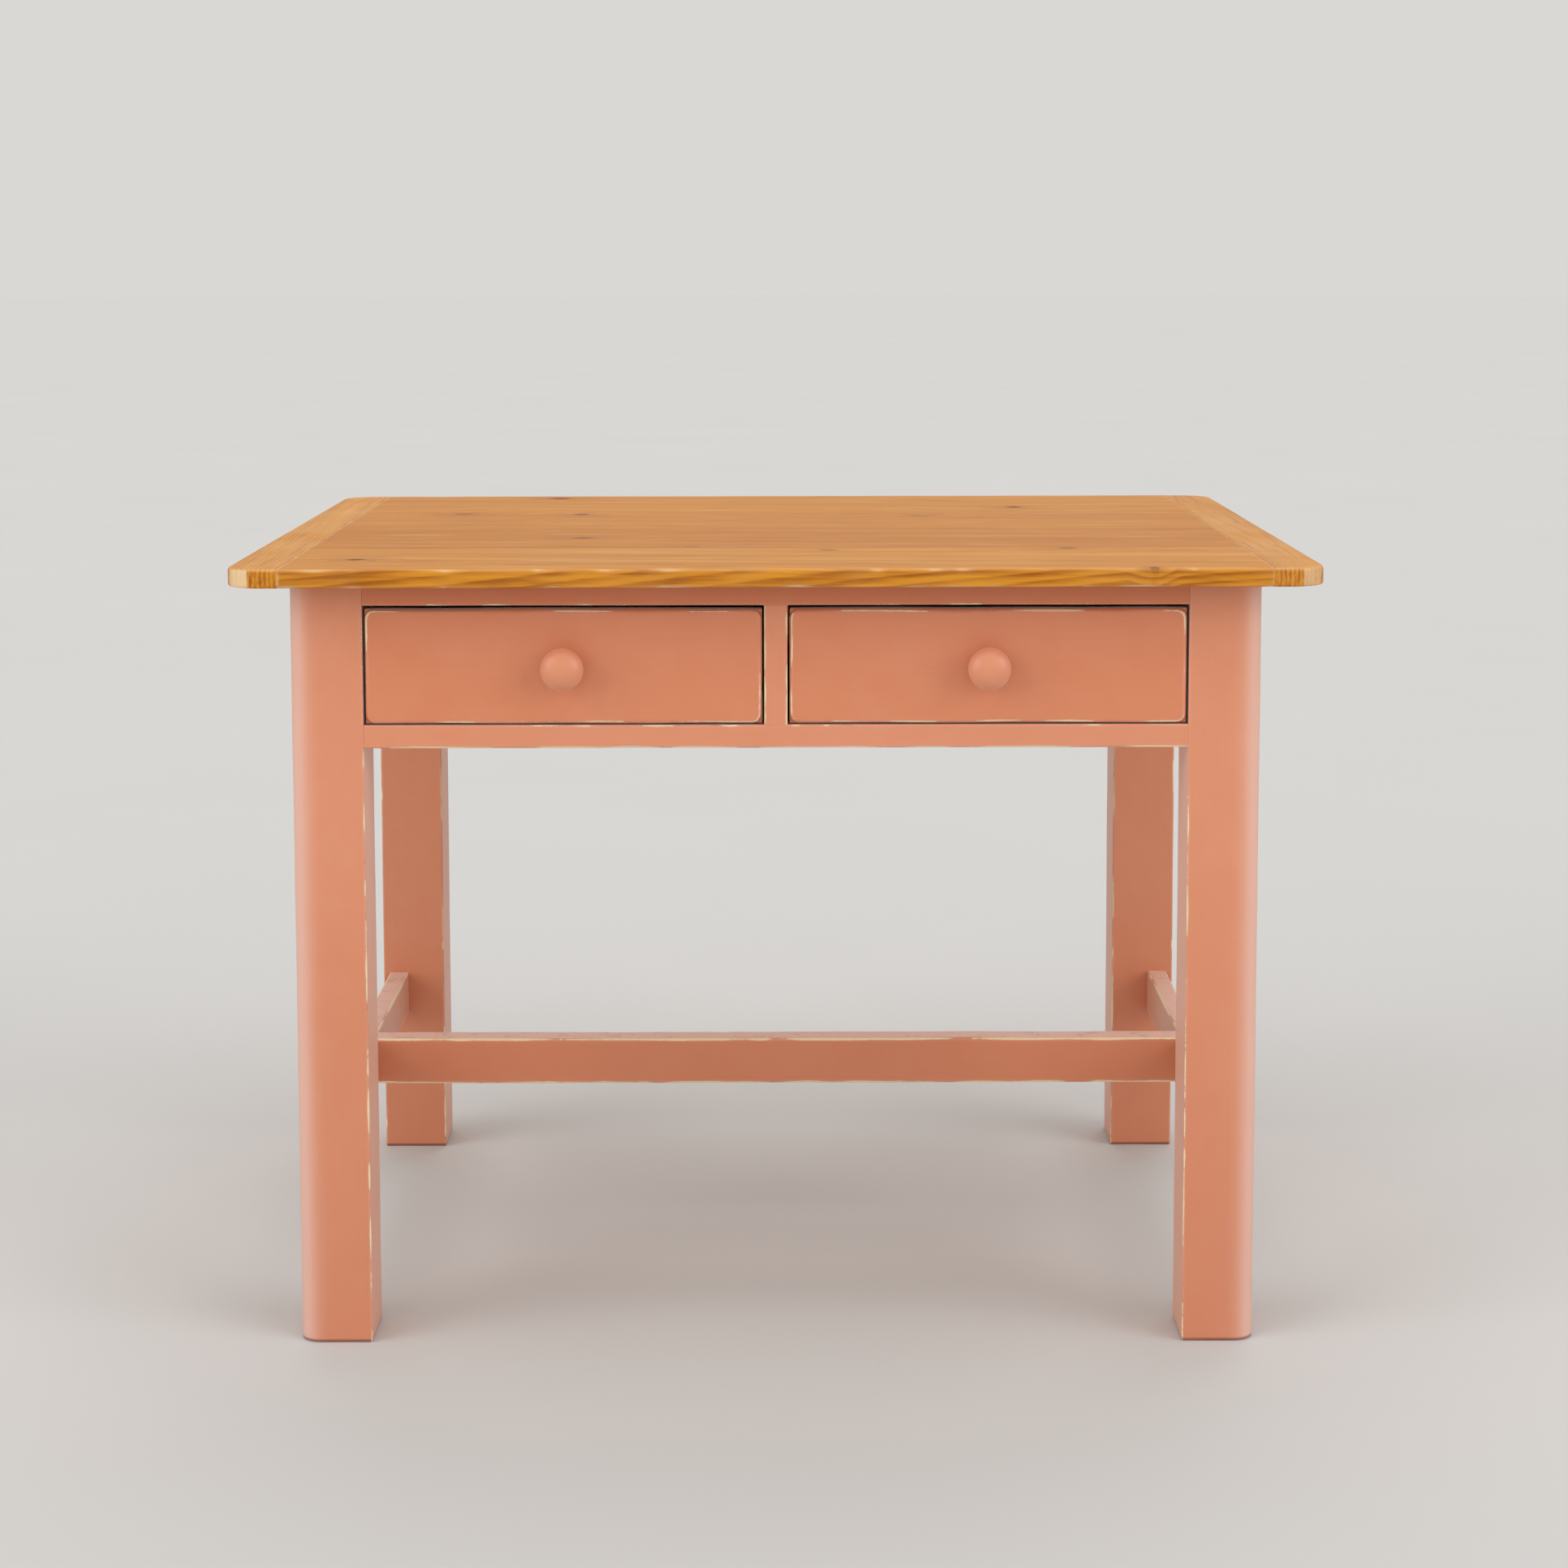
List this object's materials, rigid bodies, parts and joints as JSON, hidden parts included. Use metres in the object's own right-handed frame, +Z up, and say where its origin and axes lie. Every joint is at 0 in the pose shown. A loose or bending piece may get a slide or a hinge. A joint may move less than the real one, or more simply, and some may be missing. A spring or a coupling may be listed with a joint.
{
  "type": "kitchen table",
  "caption": "Kitchen table with a waxed pine top, painted square legs, an H stretcher and dovetailed drawers with turned knobs side by side under the front.",
  "frame": {"origin": "on the floor, under the middle of the table top", "axes": "+X to the right along the top, +Y to the back, +Z up; the drawers face and open towards -Y"},
  "size_m": [1.016, 0.816, 0.75],
  "materials": {
    "painted_pine": "terracotta chalk paint, satin, rubbed through to pale wood on the arrises",
    "waxed_pine": "honey wax over pine with knots, low sheen",
    "bare_pine": "planed, unfinished",
    "steel": "bright zinc"
  },
  "bodies": {
    "table": {"apron_back": "painted_pine", "apron_left": "painted_pine", "apron_right": "painted_pine", "breadboard_left": "waxed_pine", "breadboard_right": "waxed_pine", "drawer_divider": "painted_pine", "drawer_stops": "bare_pine", "front_bottom_rail": "painted_pine", "front_top_rail": "painted_pine", "guide_left": "bare_pine", "guide_middle": "bare_pine", "guide_right": "bare_pine", "guide_screws": "steel", "kicker_left": "bare_pine", "kicker_middle": "bare_pine", "kicker_right": "bare_pine", "leg_back_left": "painted_pine", "leg_back_right": "painted_pine", "leg_front_left": "painted_pine", "leg_front_right": "painted_pine", "runner_left": "bare_pine", "runner_middle": "bare_pine", "runner_right": "bare_pine", "stretcher_left": "painted_pine", "stretcher_long": "painted_pine", "stretcher_right": "painted_pine", "top_board_1": "waxed_pine", "top_board_2": "waxed_pine", "top_board_3": "waxed_pine", "top_board_4": "waxed_pine", "top_buttons": "bare_pine", "top_screws": "steel"},
    "drawer_left": {"drawer_left_back": "bare_pine", "drawer_left_bottom": "bare_pine", "drawer_left_bottom_nails": "steel", "drawer_left_front": "painted_pine", "drawer_left_knob": "painted_pine", "drawer_left_knob_screw": "steel", "drawer_left_side_left": "bare_pine", "drawer_left_side_right": "bare_pine"},
    "drawer_right": {"drawer_right_back": "bare_pine", "drawer_right_bottom": "bare_pine", "drawer_right_bottom_nails": "steel", "drawer_right_front": "painted_pine", "drawer_right_knob": "painted_pine", "drawer_right_knob_screw": "steel", "drawer_right_side_left": "bare_pine", "drawer_right_side_right": "bare_pine"}
  },
  "joints": [
    {"name": "drawer_left_slide", "type": "slide", "parent": "table", "child": "drawer_left", "axis": [0, -1, 0], "range_m": [0, 0.44]},
    {"name": "drawer_right_slide", "type": "slide", "parent": "table", "child": "drawer_right", "axis": [0, -1, 0], "range_m": [0, 0.44]}
  ]
}
